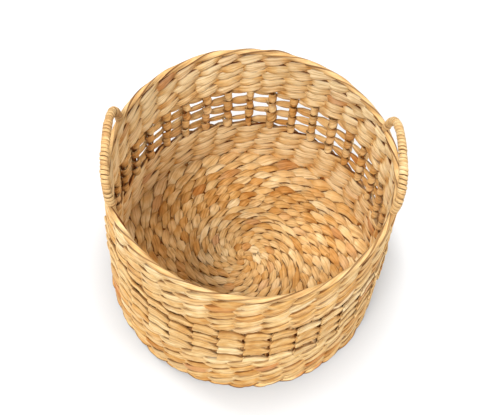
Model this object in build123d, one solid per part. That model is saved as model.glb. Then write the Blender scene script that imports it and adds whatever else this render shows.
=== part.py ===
# Round woven basket with an openwork band, a border and two wrapped bow handles.
# Origin at the middle of the foot, +Z up, one handle on each side along X, millimetres.
import os
from math import cos, pi, radians, sin, tan

from build123d import *

# Overall shape, measured to the middle of the wall
RIM_RADIUS = 185.0
FOOT_SPREAD = 13.0
LOWER_TOP = 95.0
UPPER_BOTTOM = 190.0
UPPER_TOP = 273.0

# Uprights: one cane each, a spoke in the base that turns up into the wall
STAKE_COUNT = 36
STAKE_THICKNESS = 4.0
STAKE_WIDTH = 6.0
SPOKE_TIP_WIDTH = 2.5
CENTRE_RADIUS = 26.0
ADDED_SPOKE_START = 92.0

# Flat strands and the room they are woven with
CLEARANCE = 0.2
STRAND_THICKNESS = 4.0
BASE_STRAND_THICKNESS = 3.6
LOWER_ROWS = 5
UPPER_ROWS = 5
INNER_BASE_ROWS = 6
OUTER_BASE_ROWS = 7
FOOT_WIDTH = 12.0

# Openwork: single strands with a turn round each upright
OPEN_ROWS = 4
OPEN_STRAND_HEIGHT = 13.0
LOOP_HEIGHT = 20.0
LOOP_WIDTH = 10.0
LOOP_THICKNESS = 3.0

# Border along the top edge
BORDER_WIDTH = 8.0
BORDER_HEIGHT = 7.0
BORDER_FLAT_SHARE = 0.56

# Handles: a bent core in a cord wrap, each foot two uprights from the handle's middle
HANDLE_BAYS = 2
HANDLE_RISE = 45.0
HANDLE_LEAN = 9.0
HANDLE_STEPS = 10
HANDLE_SQUARENESS = 2.5
CORE_RADIUS = 2.0
CORE_SIDES = 6
WRAP_RADIUS = 5.8
WRAP_GROOVE = 0.8
WRAP_PITCH = 13.5
WRAP_SEAT = 1.2

# Derived places
FOOT_RADIUS = RIM_RADIUS + FOOT_SPREAD
BAY = 360.0 / STAKE_COUNT
WALL_STRAND_SEAT = STAKE_THICKNESS / 2 + STRAND_THICKNESS / 2 + CLEARANCE
BASE_STRAND_SEAT = STAKE_THICKNESS / 2 + BASE_STRAND_THICKNESS / 2 + CLEARANCE
BORDER_BOTTOM = UPPER_TOP + CLEARANCE
BORDER_TOP = BORDER_BOTTOM + BORDER_HEIGHT
FOOT_OUTSIDE = FOOT_RADIUS + STAKE_THICKNESS / 2
BASE_EDGE = FOOT_OUTSIDE - FOOT_WIDTH


def polar(radius, degrees, z=0.0):
    """Point at a distance from the basket's axis, turned from +X."""
    return Vector(radius * cos(radians(degrees)), radius * sin(radians(degrees)), z)


def wall_radius(z):
    """Distance from the axis to the middle of the wall at a height."""
    return FOOT_RADIUS + (RIM_RADIUS - FOOT_RADIUS) * z / UPPER_TOP


def swing(seat, stake_width, spacing):
    """How far a strand stands off the stakes' middle to pass their corners."""
    return seat / (1 - stake_width / spacing)


def wall_swing(radius):
    """Stand-off of a wall strand outside a stake and inside one, on the curved wall."""
    spacing = (radius - 2 * WALL_STRAND_SEAT) * sin(radians(BAY))
    level = swing(WALL_STRAND_SEAT, STAKE_WIDTH, spacing)
    curve = STAKE_WIDTH / 2 * tan(radians(BAY / 2))
    return level + curve, level - curve


def spoke_width(radius):
    """Width of a spoke, which narrows toward the middle of the base."""
    share = (radius - CENTRE_RADIUS) / (ADDED_SPOKE_START - CENTRE_RADIUS)
    return SPOKE_TIP_WIDTH + (STAKE_WIDTH - SPOKE_TIP_WIDTH) * min(share, 1.0)


def ring(outer, inner, height, z):
    """Flat-topped ring between two plan outlines."""
    face = make_face(Polyline(*outer, close=True)) - make_face(Polyline(*inner, close=True))
    return Pos(0, 0, z) * extrude(face, amount=height)


def zigzag(radius, swings, first):
    """Plan outline that stands out at every second stake and in at the others."""
    radii = [radius + swings[0], radius - swings[1]]
    return [polar(radii[(k + first) % 2], k * BAY) for k in range(STAKE_COUNT)]


def flat_sided(apothem):
    """Plan outline with a flat facing every stake and a corner between stakes."""
    corner_radius = apothem / cos(radians(BAY / 2))
    return [polar(corner_radius, (k + 0.5) * BAY) for k in range(STAKE_COUNT)]


def skin(sections, closed=False):
    """Solid through a row of like sections, closed into a loop or capped at its ends."""
    corners = len(sections[0])
    runs = len(sections) if closed else len(sections) - 1
    faces = []
    for i in range(runs):
        here = sections[i]
        there = sections[(i + 1) % len(sections)]
        for j in range(corners):
            after = (j + 1) % corners
            faces.append(Face(Wire.make_polygon([here[j], here[after], there[after]])))
            faces.append(Face(Wire.make_polygon([here[j], there[after], there[j]])))
    if not closed:
        faces.append(Face(Wire.make_polygon(sections[0])))
        faces.append(Face(Wire.make_polygon(sections[-1])))
    return Solid(Shell(faces))


def centre_corner():
    """Distance from the axis to the corners of the knot in the middle of the base."""
    return (CENTRE_RADIUS - CLEARANCE) / cos(2 * pi / STAKE_COUNT)


def base_rows():
    """Radius, spoke count and swing of each base row, from the middle outward."""
    start = centre_corner() / cos(2 * pi / STAKE_COUNT)
    inner_pitch = (ADDED_SPOKE_START - start) / INNER_BASE_ROWS
    outer_pitch = (BASE_EDGE - ADDED_SPOKE_START) / OUTER_BASE_ROWS
    rows = []
    for i in range(INNER_BASE_ROWS):
        rows.append((start + inner_pitch * (i + 0.5), STAKE_COUNT // 2, inner_pitch))
    for i in range(OUTER_BASE_ROWS):
        rows.append((ADDED_SPOKE_START + outer_pitch * (i + 0.5), STAKE_COUNT, outer_pitch))
    return rows


def base_swing(radius, spokes, width):
    """Rise and fall of a base row over its spokes, eased for its inner edge."""
    inner_edge = radius - width / 2
    spacing = 2 * pi * inner_edge / spokes
    return swing(BASE_STRAND_SEAT, spoke_width(radius), spacing)


SPOKE_MIDDLE = BASE_STRAND_THICKNESS / 2 + max(base_swing(*row) for row in base_rows())
SPOKE_BOTTOM = SPOKE_MIDDLE - STAKE_THICKNESS / 2
SPOKE_TOP = SPOKE_MIDDLE + STAKE_THICKNESS / 2
LOWER_BOTTOM = SPOKE_TOP + CLEARANCE


def stake(start, top):
    """One cane: a spoke from its start to the edge of the base, then the upright."""
    half_tip = spoke_width(start) / 2
    half = STAKE_WIDTH / 2
    bend = max(start, ADDED_SPOKE_START)
    edge = wall_radius(SPOKE_BOTTOM) + STAKE_THICKNESS / 2
    plan = [(start, -half_tip), (bend, -half), (edge, -half), (edge, half), (bend, half), (start, half_tip)]
    plan = plan if start < bend else [(start, -half), (edge, -half), (edge, half), (start, half)]
    spoke = Pos(0, 0, SPOKE_BOTTOM) * extrude(make_face(Polyline(*plan, close=True)), amount=STAKE_THICKNESS)
    side = [
        (wall_radius(SPOKE_BOTTOM) - STAKE_THICKNESS / 2, SPOKE_BOTTOM),
        (wall_radius(SPOKE_BOTTOM) + STAKE_THICKNESS / 2, SPOKE_BOTTOM),
        (wall_radius(top) + STAKE_THICKNESS / 2, top),
        (wall_radius(top) - STAKE_THICKNESS / 2, top),
    ]
    upright = extrude(Plane.XZ * make_face(Polyline(*side, close=True)), amount=half, both=True)
    return spoke + upright


def handle_stakes():
    """Numbers of the stakes that the handles' legs stand on."""
    half_turn = STAKE_COUNT // 2
    return [side + step for side in (0, half_turn) for step in (HANDLE_BAYS, -HANDLE_BAYS)]


def stakes(numbers, start):
    """A set of canes round the basket, cut short where a handle's leg takes over."""
    short = [k % STAKE_COUNT for k in handle_stakes()]
    full_cane = stake(start, UPPER_TOP)
    short_cane = stake(start, UPPER_BOTTOM - CLEARANCE)
    return [Rot(0, 0, k * BAY) * (short_cane if k in short else full_cane) for k in numbers]


def base_centre():
    """Knot in the middle of the base, with a flat for the tip of each spoke."""
    sides = STAKE_COUNT // 2
    outline = [polar(centre_corner(), (k + 0.5) * 360 / sides) for k in range(sides)]
    return Pos(0, 0, SPOKE_BOTTOM) * extrude(make_face(Polyline(*outline, close=True)), amount=STAKE_THICKNESS)


def base_weft(number):
    """Flat strand woven over and under the spokes, opposite to the row before it."""
    radius, spokes, pitch = base_rows()[number]
    rise = base_swing(radius, spokes, pitch)
    half_width = pitch / 2 - CLEARANCE
    half_thick = BASE_STRAND_THICKNESS / 2
    sections = []
    for k in range(spokes):
        angle = k * 360 / spokes
        level = SPOKE_MIDDLE + (rise if (k + number) % 2 == 0 else -rise)
        inside, outside = radius - half_width, radius + half_width
        sections.append([
            polar(inside, angle, level - half_thick),
            polar(outside, angle, level - half_thick),
            polar(outside, angle, level + half_thick),
            polar(inside, angle, level + half_thick),
        ])
    return skin(sections, closed=True)


def foot_weft():
    """Flat ring under the spokes' ends, which the basket stands on."""
    return ring(flat_sided(FOOT_OUTSIDE), flat_sided(BASE_EDGE), SPOKE_BOTTOM - CLEARANCE, 0)


def wall_pair(bottom, height):
    """Two strands of one wall row, crossing between the stakes one above the other."""
    strands = []
    for level in range(2):
        z = bottom + level * height / 2
        radius = wall_radius(z + height / 4)
        swings = wall_swing(radius)
        outer = zigzag(radius + STRAND_THICKNESS / 2, swings, level)
        inner = zigzag(radius - STRAND_THICKNESS / 2, swings, level)
        strands.append(ring(outer, inner, height / 2 - CLEARANCE, z))
    return strands


def open_level(number):
    """Height of the middle of an openwork row."""
    return LOWER_TOP + (UPPER_BOTTOM - LOWER_TOP) * (number + 0.5) / OPEN_ROWS


def open_weft(number):
    """Single strand of the openwork, lying outside the stakes."""
    z = open_level(number) - OPEN_STRAND_HEIGHT / 2
    inside = wall_radius(z) + STAKE_THICKNESS / 2 + CLEARANCE
    return ring(flat_sided(inside + STRAND_THICKNESS), flat_sided(inside), OPEN_STRAND_HEIGHT, z)


def open_loops(number):
    """The strand's turns on the inner face of the stakes in one openwork row."""
    bottom = open_level(number) - LOOP_HEIGHT / 2
    seat = wall_radius(bottom) - STAKE_THICKNESS / 2 - CLEARANCE
    front = seat - LOOP_THICKNESS
    lean = (wall_radius(bottom + LOOP_HEIGHT) - wall_radius(bottom)) / LOOP_HEIGHT
    half = LOOP_WIDTH / 2
    half_front = STAKE_WIDTH / 2
    plan = [(seat, half), (front, half_front), (front, -half_front), (seat, -half)]
    outline = Pos(0, 0, bottom) * make_face(Polyline(*plan, close=True))
    turn = extrude(outline, amount=LOOP_HEIGHT, dir=(lean, 0, 1))
    return [Rot(0, 0, k * BAY) * turn for k in range(STAKE_COUNT)]


def handle_feet():
    """Where a right-hand handle's legs come out of the border."""
    return [polar(wall_radius(BORDER_TOP), side * HANDLE_BAYS * BAY, BORDER_TOP) for side in (-1, 1)]


def bow_point(share):
    """Point on the middle of a handle's bow, from one foot (0) to the other (1)."""
    foot = handle_feet()[1]
    along = cos(pi * (1 - share))
    across = sin(pi * share)
    power = 2 / HANDLE_SQUARENESS
    y = foot.Y * (1 if along > 0 else -1) * abs(along) ** power
    up = abs(across) ** power
    return Vector(foot.X + HANDLE_LEAN * up, y, foot.Z + HANDLE_RISE * up)


def rod_sections(points, radii):
    """Sections of a many-sided rod, square to its path at each point."""
    sections = []
    for i, (point, radius) in enumerate(zip(points, radii)):
        before = points[max(i - 1, 0)]
        after = points[min(i + 1, len(points) - 1)]
        along = (after - before).normalized()
        side = along.cross(Vector(1, 0, 0)).normalized()
        front = side.cross(along)
        angles = [2 * pi * j / CORE_SIDES for j in range(CORE_SIDES)]
        sections.append([point + side * (radius * cos(a)) + front * (radius * sin(a)) for a in angles])
    return sections


def handle_path():
    """Middle of a handle's core: up one leg, over the bow and down the other leg."""
    bow = [bow_point(i / HANDLE_STEPS) for i in range(HANDLE_STEPS + 1)]
    legs = [polar(wall_radius(UPPER_BOTTOM), side * HANDLE_BAYS * BAY, UPPER_BOTTOM) for side in (-1, 1)]
    return [legs[0]] + bow + [legs[1]]


def handle_bore():
    """Room for a handle's core in the pieces that it passes through."""
    path = handle_path()
    return skin(rod_sections(path, [CORE_RADIUS + CLEARANCE] * len(path)))


def rim_border():
    """Border that lies on the top row and parts round the four handle legs."""
    sections = []
    radius = wall_radius(UPPER_TOP)
    middle = BORDER_BOTTOM + BORDER_HEIGHT / 2
    flat = BORDER_FLAT_SHARE / 2
    profile = [(-0.5, 0), (-flat, -0.5), (flat, -0.5), (0.5, 0), (flat, 0.5), (-flat, 0.5)]
    for k in range(STAKE_COUNT):
        sections.append([
            polar(radius + BORDER_WIDTH * across, k * BAY, middle + BORDER_HEIGHT * up) for across, up in profile
        ])
    border = Part() + skin(sections, closed=True)
    for turn in (0, 180):
        border -= Rot(0, 0, turn) * handle_bore()
    return border


def handle_core(turn):
    """Bent core with both legs let into the upper rows, in line with a stake."""
    path = handle_path()
    core = skin(rod_sections(path, [CORE_RADIUS] * len(path)))
    return Rot(0, 0, turn) * core


def point_along(path, distance):
    """Point at a distance along a path of straight steps."""
    for here, there in zip(path, path[1:]):
        step = (there - here).length
        if distance <= step:
            return here + (there - here) * (distance / step)
        distance -= step
    return path[-1]


def handle_wrap(turn):
    """Cord wrapped round the bow from border to border, ridged along its length."""
    bow = handle_path()[1:-1]
    length = sum((there - here).length for here, there in zip(bow, bow[1:])) - 2 * WRAP_SEAT
    ridges = round(length / WRAP_PITCH)
    places = [WRAP_SEAT + length * i / (2 * ridges) for i in range(2 * ridges + 1)]
    radii = [WRAP_RADIUS - (WRAP_GROOVE if i % 2 == 0 else 0) for i in range(len(places))]
    sleeve = skin(rod_sections([point_along(bow, place) for place in places], radii))
    return Rot(0, 0, turn) * (Part() + sleeve - handle_bore())


def write(name, shapes):
    """Write one node, a single piece or a group of separate pieces."""
    pieces = shapes if isinstance(shapes, list) else [shapes]
    solids = [solid for piece in pieces for solid in piece.solids()]
    node = solids[0] if len(solids) == 1 else Compound(children=solids)
    node.label = name
    export_step(node, f"parts/{name}.step")


def main():
    os.makedirs("parts", exist_ok=True)
    write("stakes_from_centre", stakes(range(0, STAKE_COUNT, 2), CENTRE_RADIUS))
    write("stakes_added", stakes(range(1, STAKE_COUNT, 2), ADDED_SPOKE_START))
    write("base_centre", base_centre())
    for i in range(INNER_BASE_ROWS + OUTER_BASE_ROWS):
        write(f"base_weft_{i + 1}", base_weft(i))
    write("foot_weft", foot_weft())
    lower_pitch = (LOWER_TOP - LOWER_BOTTOM) / LOWER_ROWS
    for i in range(LOWER_ROWS):
        write(f"lower_weft_{i + 1}", wall_pair(LOWER_BOTTOM + i * lower_pitch, lower_pitch))
    for i in range(OPEN_ROWS):
        write(f"openwork_weft_{i + 1}", open_weft(i))
        write(f"openwork_loops_{i + 1}", open_loops(i))
    upper_pitch = (UPPER_TOP - UPPER_BOTTOM) / UPPER_ROWS
    for i in range(UPPER_ROWS):
        write(f"upper_weft_{i + 1}", wall_pair(UPPER_BOTTOM + i * upper_pitch, upper_pitch))
    write("rim_border", rim_border())
    for side, turn in (("right", 0), ("left", 180)):
        write(f"handle_core_{side}", handle_core(turn))
        write(f"handle_wrap_{side}", handle_wrap(turn))


main()
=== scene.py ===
# %% [markdown]
# This lesson dresses the solid model of a round woven basket. The solids give every piece its place and
# its size. Here each woven row becomes twisted flat stems, as a weaver would make it, and each finish is a
# procedural material. Everything is in metres, with +Z up and the two handles on the X axis.

# %% Load the solid model
from math import cos, pi, radians, sin

import bpy
import numpy as np
from mathutils import Matrix, Vector


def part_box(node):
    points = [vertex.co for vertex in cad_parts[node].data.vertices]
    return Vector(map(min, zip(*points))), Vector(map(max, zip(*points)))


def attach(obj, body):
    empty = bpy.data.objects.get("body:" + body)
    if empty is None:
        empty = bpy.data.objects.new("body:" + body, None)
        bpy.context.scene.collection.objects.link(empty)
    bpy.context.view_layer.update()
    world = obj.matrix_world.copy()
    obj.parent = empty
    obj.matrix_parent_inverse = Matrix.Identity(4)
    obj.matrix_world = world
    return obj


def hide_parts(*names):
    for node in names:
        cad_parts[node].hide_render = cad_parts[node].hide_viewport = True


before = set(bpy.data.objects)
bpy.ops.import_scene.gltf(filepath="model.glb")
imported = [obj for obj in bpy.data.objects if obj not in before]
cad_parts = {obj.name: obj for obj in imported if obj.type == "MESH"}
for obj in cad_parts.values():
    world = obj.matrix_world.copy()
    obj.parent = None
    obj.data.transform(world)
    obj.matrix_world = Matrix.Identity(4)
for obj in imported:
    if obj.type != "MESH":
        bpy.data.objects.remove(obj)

scene = bpy.context.scene
scene.view_settings.view_transform = "Standard"
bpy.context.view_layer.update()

# %% [markdown]
# The wall leans in a little from foot to rim. Its middle is read from the boxes of the foot and the border,
# so that every strand below follows the solids and no size has to be typed twice.

# %% Read the main sizes
STAKE_COUNT = 36
BAY = 2 * pi / STAKE_COUNT
STAKE_HALF_DEPTH = 0.002
BORDER_HALF_WIDTH = 0.004
rim_low, rim_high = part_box("rim_border")
foot_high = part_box("foot_weft")[1]
knot_low, knot_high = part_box("base_centre")
RIM_RADIUS = rim_high.x - BORDER_HALF_WIDTH
FOOT_RADIUS = foot_high.x - STAKE_HALF_DEPTH
SPOKE_LEVEL = (knot_low.z + knot_high.z) / 2


def wall_radius(z):
    """Distance from the basket's axis to the middle of the wall at a height."""
    return FOOT_RADIUS + (RIM_RADIUS - FOOT_RADIUS) * z / rim_low.z


print("wall radius at foot and rim:", round(FOOT_RADIUS, 4), round(RIM_RADIUS, 4))

# %% [markdown]
# The camera looks down into the basket at about sixty degrees from in front, a little rolled. Building its
# matrix from three directions, right, up and back, keeps the roll plain to read.

# %% Camera
CAMERA_AIM = Vector((0.0, 0.0, 0.1388))
CAMERA_DISTANCE = 1.2189
CAMERA_RISE = radians(61.14)
CAMERA_PLAN_ANGLE = radians(-94.25)
CAMERA_ROLL = 0.0963
CAMERA_LENS = 62.16
CAMERA_SENSOR = 36.0
CAMERA_SHIFT = (0.00397, 0.0209)


def place_camera():
    """Camera at the photograph's viewing angle."""
    plan = Vector((cos(CAMERA_PLAN_ANGLE), sin(CAMERA_PLAN_ANGLE), 0.0))
    back = plan * cos(CAMERA_RISE) + Vector((0.0, 0.0, sin(CAMERA_RISE)))
    level = Vector((-plan.y, plan.x, 0.0))
    upward = back.cross(level)
    right = level * cos(CAMERA_ROLL) + upward * sin(CAMERA_ROLL)
    up = upward * cos(CAMERA_ROLL) - level * sin(CAMERA_ROLL)
    data = bpy.data.cameras.new("Camera")
    data.lens = CAMERA_LENS
    data.sensor_width = CAMERA_SENSOR
    data.shift_x, data.shift_y = CAMERA_SHIFT
    camera = bpy.data.objects.new("Camera", data)
    turn = Matrix((right, up, back)).transposed().to_4x4()
    camera.matrix_world = Matrix.Translation(CAMERA_AIM + back * CAMERA_DISTANCE) @ turn
    scene.collection.objects.link(camera)
    scene.camera = camera
    return camera


camera = place_camera()
print("camera at", [round(v, 3) for v in camera.location])

# %% [markdown]
# Every strand is a row of oval sections along a path, so one helper sweeps them all. The grid of points
# becomes quads. Curve objects with a bevel could do it too, but a grid lets width, thickness and tone change
# at every section. Each corner also stores where it lies in the strand, for the fibres, and the tone of the
# stem that it belongs to. A shallow fold runs along each stem, and open strands close at both ends.

# %% Sweep helpers
SEED = 20
GRAIN_REACH = 9
EDGE_POWER = 0.75
# Painted shade along both edges of a strand: it starts at this share of the half width and ramps up.
EDGE_SHADE_START = 0.72
EDGE_SHADE_RAMP = 0.24
FOLD_PLACES = 40
FOLD_REACH = 0.5
FOLD_DEPTH = 0.2
FOLD_WIDTH = 0.16
END_STEP = 0.0002
END_SIZE = 0.02
draw = np.random.default_rng(SEED)


def unit(vectors):
    """Vectors scaled to length one."""
    return vectors / np.linalg.norm(vectors, axis=-1, keepdims=True)


def signed_power(values, power):
    """A power that keeps the sign."""
    return np.sign(values) * np.abs(values) ** power


def path_steps(centres, closed):
    """Direction of a path at each of its points."""
    if closed:
        return unit(np.roll(centres, -1, 0) - np.roll(centres, 1, 0))
    return unit(np.gradient(centres, axis=0))


def along_leaves(values, place, sharpness=1.0):
    """Value at a place counted in leaves, easing from one leaf to the next."""
    low = np.floor(place).astype(int)
    share = np.clip((place - low - 0.5) * sharpness + 0.5, 0, 1)
    share = share * share * (3 - 2 * share)
    count = len(values)
    return values[low % count] * (1 - share) + values[(low + 1) % count] * share


def with_ends(values):
    """Values along a strand with the first and the last repeated."""
    return np.concatenate([values[:1], values, values[-1:]])


def sweep(centres, across, half_width, half_depth, tone, shade, around=20, closed=True, cell=10, edge=1.0):
    """A strand through oval sections: its points, and the values that its corners carry."""
    ahead = path_steps(centres, closed)
    if not closed:
        first, last = centres[:1] - END_STEP * ahead[:1], centres[-1:] + END_STEP * ahead[-1:]
        centres = np.concatenate([first, centres, last])
        ahead, across, shade = with_ends(ahead), with_ends(across), with_ends(shade)
        tone = [with_ends(values) for values in tone]
        closing = np.ones(len(centres))
        closing[[0, -1]] = END_SIZE
        half_width, half_depth = with_ends(half_width) * closing, with_ends(half_depth) * closing
        cell = cell + 2
    tone, tint = tone
    normal = unit(np.cross(ahead, across))
    flat = np.cross(normal, ahead)
    turn = np.linspace(0, 2 * pi, around + 1)
    wide = np.cos(turn)
    deep = signed_power(np.sin(turn), EDGE_POWER)
    fold_places = np.linspace(0, FOLD_PLACES, len(centres))
    drift = along_leaves(draw.uniform(-FOLD_REACH, FOLD_REACH, FOLD_PLACES), fold_places)
    groove = 1 - FOLD_DEPTH * np.exp(-(((wide - drift[:, None]) / FOLD_WIDTH) ** 2))
    offsets = (half_width[:, None] * wide)[..., None] * flat[:, None]
    offsets = offsets + (half_depth[:, None] * deep * groove)[..., None] * normal[:, None]
    points = centres[:, None] + offsets
    points[:, -1] = points[:, 0]
    steps = np.linalg.norm(np.diff(np.concatenate([centres, centres[:1]]), axis=0), axis=1)
    along = np.concatenate([[0.0], np.cumsum(steps)])
    count = len(centres) + 1 if closed else len(centres)
    rows = np.arange(count) % len(centres)
    start = draw.uniform(0, GRAIN_REACH)
    grain = np.empty((count, around + 1, 3))
    grain[..., 0] = half_width[rows][:, None] * wide + start
    grain[..., 1] = half_depth[rows][:, None] * deep
    grain[..., 2] = along[:count, None] + start
    leaf = np.empty((count, around + 1, 3))
    leaf[..., 0] = tone[rows][:, None]
    leaf[..., 1] = tint[rows][:, None]
    # Painted shade: a dark band along both edges of each strand stands in for the shadow lines between stems.
    edges = np.broadcast_to(edge, len(centres))[rows][:, None]
    rim = np.minimum(edges * np.clip((np.abs(wide) - EDGE_SHADE_START) / EDGE_SHADE_RAMP, 0, 1) ** 2, 1)
    leaf[..., 2] = np.maximum(shade[rows][:, None], rim)
    return {"points": points[:, :-1], "grain": grain, "leaf": leaf, "closed": closed, "cell": cell}


print("sweep ready, random seed:", SEED)

# %% [markdown]
# The strands of one piece become one mesh. Faces could be added one at a time, but a basket has hundreds of
# leaves, and filling the mesh from whole arrays is much quicker. A strand has a natural map: each stretch of
# it is unrolled into one square cell, so a baked picture wastes little room.

# %% Mesh helpers
UV_MARGIN = 0.04


def strand_quads(strand):
    """Section and side number of the four corners of each quad."""
    sections, around = strand["points"].shape[:2]
    runs = sections if strand["closed"] else sections - 1
    i, j = np.meshgrid(np.arange(runs), np.arange(around), indexing="ij")
    rows = np.stack([i, i, i + 1, i + 1], -1).reshape(-1, 4)
    sides = np.stack([j, j + 1, j + 1, j], -1).reshape(-1, 4)
    return rows, sides


def strand_map(rows, sides, strand, first_cell, columns):
    """Map of a strand: one square cell for each stretch of it."""
    around = strand["points"].shape[1]
    stretch = rows[:, :1] // strand["cell"]
    u = (rows - stretch * strand["cell"]) / strand["cell"]
    v = sides / around
    number = first_cell + stretch
    inner = 1 - 2 * UV_MARGIN
    u = (number % columns + UV_MARGIN + inner * u) / columns
    v = (number // columns + UV_MARGIN + inner * v) / columns
    return np.stack([u, v], -1), first_cell + stretch.max() + 1


def lay_strands(name, strands, material):
    """One mesh object made of strands, with their corner values and map."""
    cells = sum(-(-strand["points"].shape[0] // strand["cell"]) for strand in strands)
    columns = int(np.ceil(np.sqrt(cells)))
    points, faces, grain, leaf, maps = [], [], [], [], []
    first_point = first_cell = 0
    for strand in strands:
        rows, sides = strand_quads(strand)
        sections, around = strand["points"].shape[:2]
        faces.append(first_point + (rows % sections) * around + sides % around)
        grain.append(strand["grain"][rows, sides].reshape(-1, 3))
        leaf.append(strand["leaf"][rows, sides].reshape(-1, 3))
        layout, first_cell = strand_map(rows, sides, strand, first_cell, columns)
        maps.append(layout.reshape(-1, 2))
        points.append(strand["points"].reshape(-1, 3))
        first_point += sections * around
    mesh = bpy.data.meshes.new(name)
    points = np.concatenate(points)
    faces = np.concatenate(faces)
    mesh.vertices.add(len(points))
    mesh.vertices.foreach_set("co", points.astype(np.float32).ravel())
    mesh.loops.add(faces.size)
    mesh.loops.foreach_set("vertex_index", faces.astype(np.int32).ravel())
    mesh.polygons.add(len(faces))
    mesh.polygons.foreach_set("loop_start", np.arange(0, faces.size, 4, dtype=np.int32))
    mesh.update(calc_edges=True)
    mesh.polygons.foreach_set("use_smooth", np.ones(len(faces), dtype=bool))
    for label, values in (("grain", grain), ("leaf", leaf)):
        attribute = mesh.attributes.new(label, "FLOAT_VECTOR", "CORNER")
        attribute.data.foreach_set("vector", np.concatenate(values).astype(np.float32).ravel())
    layer = mesh.uv_layers.new(name="OFBake")
    layer.uv.foreach_set("vector", np.concatenate(maps).astype(np.float32).ravel())
    mesh.validate()
    mesh.materials.append(material)
    piece = bpy.data.objects.new(name, mesh)
    scene.collection.objects.link(piece)
    return piece


def fit_piece(piece, slot, *nodes):
    """The piece hangs from the root body and takes the place of its solids, which are hidden."""
    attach(piece, "root")
    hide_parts(*nodes)
    return piece


print("mesh helpers ready, margin of a map cell:", UV_MARGIN)

# %% [markdown]
# Dried stems differ: one is pale, the next golden, a few are reddish or grey. A stem runs through several
# leaves of the weave before the next one takes over. A noise texture could vary the colour, but it wouldn't
# know where a stem ends, so tones are drawn stem by stem and then varied a little from leaf to leaf.

# %% Tones and leaf values
STEM_LEAVES = (3, 9)
SPREAD_SHARE = 0.6
TINT_MIDDLE = 0.02
TINT_SPREAD = 0.13
REDDISH_ABOVE = 0.965
REDDISH_TINTS = (0.3, 0.9)
GREYISH_BELOW = 0.03
GREYISH_TINTS = (-0.8, -0.3)


def stem_tones(count, middle=0.6, spread=0.17):
    """Tone (dark to pale) and tint (grey to reddish) of each leaf along a strand."""
    tone = np.empty(count)
    tint = np.zeros(count)
    start = 0
    while start < count:
        stop = start + draw.integers(*STEM_LEAVES)
        tone[start:stop] = middle + draw.normal(0, spread * SPREAD_SHARE)
        tint[start:stop] = draw.normal(TINT_MIDDLE, TINT_SPREAD)
        start = stop
    tone += draw.normal(0, spread * SPREAD_SHARE, count)
    odd = draw.random(count)
    tint = np.where(odd > REDDISH_ABOVE, draw.uniform(*REDDISH_TINTS, count), tint)
    tint = np.where(odd < GREYISH_BELOW, draw.uniform(*GREYISH_TINTS, count), tint)
    return np.clip(tone, 0, 1), np.clip(tint, -1, 1)


print("tones ready, first draw:", [round(float(v), 2) for v in stem_tones(4)[0]])

# %% [markdown]
# Three effects are shared by all the finishes, so each is a node group that is built once. A few short
# helpers first: one for colours, and one for each kind of node that is used again and again.

# %% Colour and node helpers
def ink(red, green, blue):
    """Linear colour from the usual 0 to 255 values."""
    levels = [value / 255 for value in (red, green, blue)]
    return (*[v / 12.92 if v <= 0.04045 else ((v + 0.055) / 1.055) ** 2.4 for v in levels], 1.0)


def new_group(name, inputs, outputs):
    """Empty shader group with named sockets, and its two ends."""
    group = bpy.data.node_groups.new(name, "ShaderNodeTree")
    for label, kind in inputs:
        group.interface.new_socket(name=label, in_out="INPUT", socket_type=kind)
    for label, kind in outputs:
        group.interface.new_socket(name=label, in_out="OUTPUT", socket_type=kind)
    return group, group.nodes.new("NodeGroupInput"), group.nodes.new("NodeGroupOutput")


def add_ramp(tree, stops):
    """Colour ramp with the given places and colours."""
    node = tree.nodes.new("ShaderNodeValToRGB")
    elements = node.color_ramp.elements
    while len(elements) < len(stops):
        elements.new(0.5)
    for element, (place, colour) in zip(elements, stops):
        element.position = place
        element.color = colour
    return node


def add_mix(tree, mode="MIX"):
    """Colour mix; its sockets are picked by name."""
    node = tree.nodes.new("ShaderNodeMix")
    node.data_type = "RGBA"
    node.blend_type = mode
    colours = [socket for socket in node.inputs if socket.type == "RGBA"]
    result = [socket for socket in node.outputs if socket.type == "RGBA"][0]
    return node.inputs[0], colours[0], colours[1], result


def add_range(tree, low, high, low_to, high_to):
    """Value moved from one range to another."""
    node = tree.nodes.new("ShaderNodeMapRange")
    for label, value in (("From Min", low), ("From Max", high), ("To Min", low_to), ("To Max", high_to)):
        node.inputs[label].default_value = value
    return node


print("mid grey in linear light:", round(ink(128, 128, 128)[0], 3))

# %% [markdown]
# Stems are bundles of fibres, so their colour and relief run lengthwise. A picture of wood could give that,
# but noise in the strand's own coordinates follows every bend and never repeats. The group gives fine
# streaks, broader creases and soft patches.

# %% Fibre group
STREAK_SCALE = 1.0
CREASE_SCALE = 0.28
MOTTLE_SCALE = 70


def fibre_group():
    """Long streaks and creases in a strand's own coordinates."""
    vector, value = "NodeSocketVector", "NodeSocketFloat"
    sockets = [("Grain", vector), ("Across", value), ("Along", value)]
    results = [("Streak", value), ("Crease", value), ("Mottle", value)]
    group, start, end = new_group("stem fibre", sockets, results)
    links = group.links
    scale = group.nodes.new("ShaderNodeCombineXYZ")
    for axis, label in (("X", "Across"), ("Y", "Across"), ("Z", "Along")):
        links.new(start.outputs[label], scale.inputs[axis])
    stretch = group.nodes.new("ShaderNodeVectorMath")
    stretch.operation = "MULTIPLY"
    links.new(start.outputs["Grain"], stretch.inputs[0])
    links.new(scale.outputs[0], stretch.inputs[1])
    fine, plain = stretch.outputs[0], start.outputs["Grain"]
    for label, place, size, detail in (
        ("Streak", fine, STREAK_SCALE, 3.0),
        ("Crease", fine, CREASE_SCALE, 1.0),
        ("Mottle", plain, MOTTLE_SCALE, 2.0),
    ):
        noise = group.nodes.new("ShaderNodeTexNoise")
        noise.inputs["Scale"].default_value = size
        noise.inputs["Detail"].default_value = detail
        links.new(place, noise.inputs["Vector"])
        links.new(noise.outputs["Fac"], end.inputs[label])
    return group


FIBRE = fibre_group()
print("node group:", FIBRE.name)

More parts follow.
